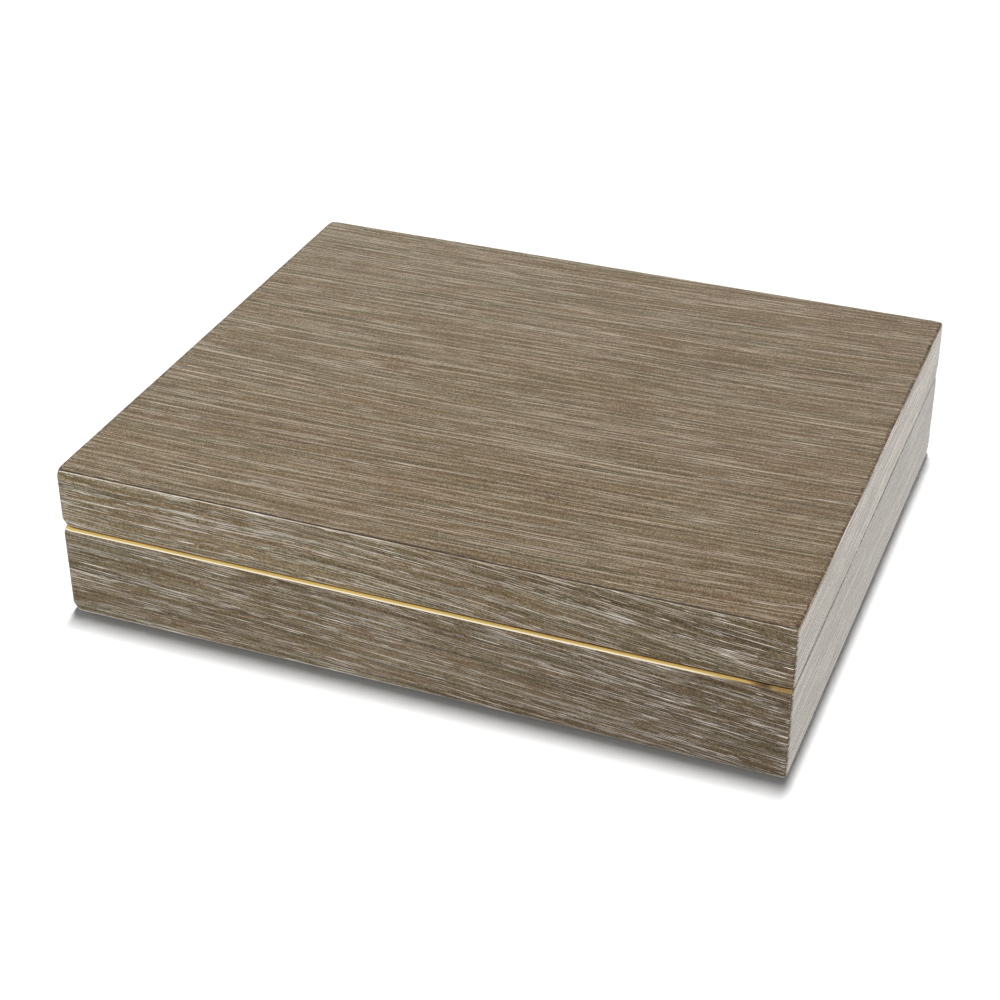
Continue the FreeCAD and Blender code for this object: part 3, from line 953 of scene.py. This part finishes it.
def markedLineColor(tree, color, smudge):
    def turned(value, key, smooth=True):
        return rescale(value, *brassLineMarks[key], smooth=smooth)

    border = addNode(tree, "SeparateXYZ", Vector=readAttribute(tree, "border").outputs["Vector"]).outputs
    reach = readAttribute(tree, "reach").outputs["Fac"]
    # painted highlight along the foot
    foot = times(turned(border[1], "foot"), turned(reach, "footEnd"))
    color = blendColor(foot, color, brassLineMarks["footColor"])
    tip = turned(reach, "tip")
    ended = times(turned(reach, "topEnd"), turned(tip, "topTip", False))
    lower = plus(times(ended, brassLineMarks["topLower"]), turned(reach, "topDrop", False))
    # painted shade along the top, lower and darker towards the right end
    topShade = turned(minus(border[2], lower), "top")
    color = blendColor(topShade, color, blendColor(ended, brassLineMarks["topColor"], brassLineMarks["endColor"]))
    hidden = times(turned(border[1], "hidden"), turned(reach, "hiddenFrom"))
    hidden = times(hidden, turned(tip, "hiddenTip", False))
    color = blendColor(hidden, color, brassLineMarks["hiddenColor"])
    dulled = times(tip, turned(smudge, "tipSmudge", False))
    return blendColor(dulled, color, brassLineMarks["tipColor"])


def brassMaterial(name):
    look = brassLooks[name]
    material, tree, shader = newMaterial(name)
    place = inMillimetres(addNode(tree, "TexCoord").outputs["Object"])
    lines = stretched(place, look["lines"], *brassWear["lines"])
    smudge = stretched(place, *brassWear["smudge"])
    shade = tuple(brassWear["smudgedShade"] * c for c in look["color"][:3]) + (1,)
    color = blendColor(rescale(smudge, *brassWear["smudged"]), look["color"], shade)
    # the line gets its painted highlight and painted shade
    if name == "brassLine":
        color = markedLineColor(tree, color, smudge)
    roughness = rescale(smudge, *brassWear["roughened"], *look["roughness"])
    give(shader, Metallic=1.0, Base_Color=color, Roughness=roughness,
         Normal=bump(lines, brassWear["lineRelief"]))
    return material


brass = {name: brassMaterial(name) for name in brassLooks}
bandPiece.data.materials.append(brass["brassLine"])
for side in ("left", "right"):
    for node in ("hinge_base_leaf_", "hinge_lid_leaf_", "hinge_pin_"):
        dress(node + side, brass["brassHinge"])
for node in ("base_hinge_screws", "lid_hinge_screws"):
    dress(node, brass["brassScrew"])


# Carcass: plain stained oak, its grain along each wall, and no line along an edge
carcassLook = {"Brown": (0.200, 0.145, 0.088, 1), "Shade": (0.125, 0.090, 0.056, 1),
               "Lime": (0.30, 0.25, 0.19, 1), "Chalk": (0.32, 0.27, 0.21, 1), "Spacing": oakGrain["spacing"],
               "Ringing": 0.3, "Liming": 0.35, "Hair": 0.3, "Dash": 0.3, "Fleck": 0.3,
               "Left": (1, 1, 1, 1), "Right": (1, 1, 1, 1), "Border": (10.0, 10.0, 10.0)}
carcassRelief = 0.03


def carcassMaterial(name, turn):
    material, tree, shader, group = grainMaterial(name, carcassLook, carcassRelief)
    place = addNode(tree, "TexCoord").outputs["Object"]
    mapping = addNode(tree, "Mapping", vector_type="POINT", Vector=place, Rotation=(0, 0, math.radians(turn)))
    give(group, Grain=mapping.outputs["Vector"])
    return material


carcassAlongX = carcassMaterial("carcassAlongX", 0)
carcassAlongY = carcassMaterial("carcassAlongY", 90)
for part in ("base", "lid"):
    for side in sideFrames:
        dress(part + "_wall_" + side, carcassAlongX if side in ("front", "back") else carcassAlongY)
    dress(part + "_mitre_keys", carcassAlongX)
dress("base_bottom_panel", carcassAlongX)
dress("lid_top_panel", carcassAlongX)


# Cloths: short pile that is brushed a little darker and lighter in patches
clothLooks = {
    "suedeLining": {"light": (0.66, 0.58, 0.46, 1), "deep": (0.55, 0.475, 0.365, 1), "sheen": 0.35},
    "pressedFelt": {"light": (0.050, 0.042, 0.034, 1), "deep": (0.028, 0.023, 0.019, 1), "sheen": 0.15},
}
clothPile = {
    "brushed": ((26.0, 15.0), 3.0, 0.6, 2.0),
    "brushedFrom": (0.35, 0.65),
    "brushedShare": 0.6,
    "pile": ((0.35, 0.35), 2.0, 0.7, 8.0),
    "pileFrom": (0.3, 0.7),
    "pileShare": 0.4,
    "pileRelief": 0.08,
    "roughness": 0.95,
    "sheenRoughness": 0.5,
    "gloss": 0.2,
}


def clothMaterial(name):
    look = clothLooks[name]
    material, tree, shader = newMaterial(name, clothPile["roughness"])
    place = inMillimetres(addNode(tree, "TexCoord").outputs["Object"])
    brushed = stretched(place, *clothPile["brushed"])
    pile = stretched(place, *clothPile["pile"])
    share = plus(times(rescale(brushed, *clothPile["brushedFrom"]), clothPile["brushedShare"]),
                 times(rescale(pile, *clothPile["pileFrom"]), clothPile["pileShare"]))
    give(shader, Base_Color=blendColor(share, look["deep"], look["light"]), Sheen_Weight=look["sheen"],
         Sheen_Roughness=clothPile["sheenRoughness"], Specular_IOR_Level=clothPile["gloss"],
         Normal=bump(pile, clothPile["pileRelief"]))
    return material


suede = clothMaterial("suedeLining")
for piece in liningPieces:
    piece.data.materials.append(suede)
feltPiece.data.materials.append(clothMaterial("pressedFelt"))
print("finishes made")


# Camera, from the photograph's viewing angle
cameraView = {
    "azimuth": 21.595,
    "elevation": 31.904,
    "roll": -0.196,
    "distance": 0.87038,
    "aside": (-0.01057, 0.01109),
    "lens": 75.534,
    "sensor": 36,
    "clipStart": 0.01,
}


def placeCamera():
    azimuth = math.radians(cameraView["azimuth"])
    elevation = math.radians(cameraView["elevation"])
    roll = math.radians(cameraView["roll"])
    back = Vector((math.sin(azimuth) * math.cos(elevation), -math.cos(azimuth) * math.cos(elevation),
                   math.sin(elevation)))
    right = Vector((0, 0, 1)).cross(back).normalized()
    up = back.cross(right)
    tiltedRight = math.cos(roll) * right + math.sin(roll) * up
    tiltedUp = math.cos(roll) * up - math.sin(roll) * right
    centre = (tiltedRight * cameraView["aside"][0] + tiltedUp * cameraView["aside"][1]
              + back * cameraView["distance"])
    data = bpy.data.cameras.new("photoCamera")
    data.lens = cameraView["lens"]
    data.sensor_width = cameraView["sensor"]
    data.clip_start = cameraView["clipStart"]
    camera = addObject("photoCamera", data)
    turned = Matrix((tiltedRight, tiltedUp, back)).transposed().to_4x4()
    camera.matrix_world = Matrix.Translation(centre) @ turned
    bpy.context.scene.camera = camera


placeCamera()
print("camera placed")


# Floor, world and lamps: a strip of lamps overhead and a little behind, and low soft boxes all round. The
# floor is white to the eye and in gloss, and sends only a part of its light back up.
studio = {
    "floorHalf": 6.0,
    "floorBounce": 0.35,
    "worldStrength": 0.08,
    "overheadStrength": 1.085,
    "overheadAngle": 4.5,
    "overheadFrom": ((-0.022, 0.064, 1.0), (-0.048, 0.124, 1.0), (-0.034, 0.186, 1.0)),
    "boxes": {
        "frontBox": {"toward": (-0.35, -0.93, 0.055), "away": 1.1, "size": (0.60, 0.09), "power": 6.5},
        "rightBox": {"toward": (0.97, -0.20, 0.045), "away": 1.5, "size": (0.70, 0.10), "power": 13.0},
        "backBox": {"toward": (0.0, 1.0, 0.055), "away": 1.3, "size": (0.60, 0.09), "power": 7.0},
        "leftBox": {"toward": (-0.90, 0.43, 0.055), "away": 1.3, "size": (0.60, 0.09), "power": 7.0},
    },
}


def whiteSeen(tree):
    # 1 for the eye, gloss and glass, which see plain white; 0 for the light that falls on things
    path = tree.nodes.new("ShaderNodeLightPath")
    seen = larger(path.outputs["Is Camera Ray"], path.outputs["Is Glossy Ray"])
    return larger(seen, path.outputs["Is Transmission Ray"])


def buildFloor():
    half = studio["floorHalf"]
    mesh = bpy.data.meshes.new("floor")
    corners = [(-half, -half, 0), (half, -half, 0), (half, half, 0), (-half, half, 0)]
    mesh.from_pydata(corners, [], [(0, 1, 2, 3)])
    floor = addObject("floor", mesh)
    material, tree, shader = newMaterial("floorWhite", 1.0)
    material.cycles.emission_sampling = "NONE"
    path = tree.nodes.new("ShaderNodeLightPath").outputs
    seen = rescale(path["Is Diffuse Ray"], 0.0, 1.0, 1.0, studio["floorBounce"])
    shade = minus(seen, path["Is Glossy Ray"], clamp=True)
    give(shader, Base_Color=shade, Emission_Strength=path["Is Glossy Ray"], Emission_Color=(1, 1, 1, 1),
         Specular_IOR_Level=0.0)
    mesh.materials.append(material)


def buildLight():
    world = bpy.data.worlds.new("studioWorld")
    bpy.context.scene.world = world
    world.use_nodes = True
    strength = rescale(whiteSeen(world.node_tree), 0.0, 1.0, studio["worldStrength"], 1.0)
    give(world.node_tree.nodes["Background"], Color=(1, 1, 1, 1), Strength=strength)
    for number, source in enumerate(studio["overheadFrom"]):
        overhead = bpy.data.lights.new("overhead%d" % number, "SUN")
        overhead.energy = studio["overheadStrength"]
        overhead.angle = math.radians(studio["overheadAngle"])
        lamp = addObject(overhead.name, overhead)
        lamp.rotation_euler = Vector(source).to_track_quat("Z", "Y").to_euler()
    for name, box in studio["boxes"].items():
        data = bpy.data.lights.new(name, "AREA")
        data.shape = "RECTANGLE"
        data.size, data.size_y = box["size"]
        data.energy = box["power"]
        lamp = addObject(name, data)
        toward = Vector(box["toward"]).normalized()
        lamp.location = toward * box["away"]
        lamp.rotation_euler = toward.to_track_quat("Z", "Y").to_euler()
        lamp.visible_camera = False
        lamp.visible_glossy = False
        data.cycles.max_bounces = 0


buildFloor()
buildLight()
bpy.context.scene.view_settings.view_transform = "Standard"
print("studio lit")
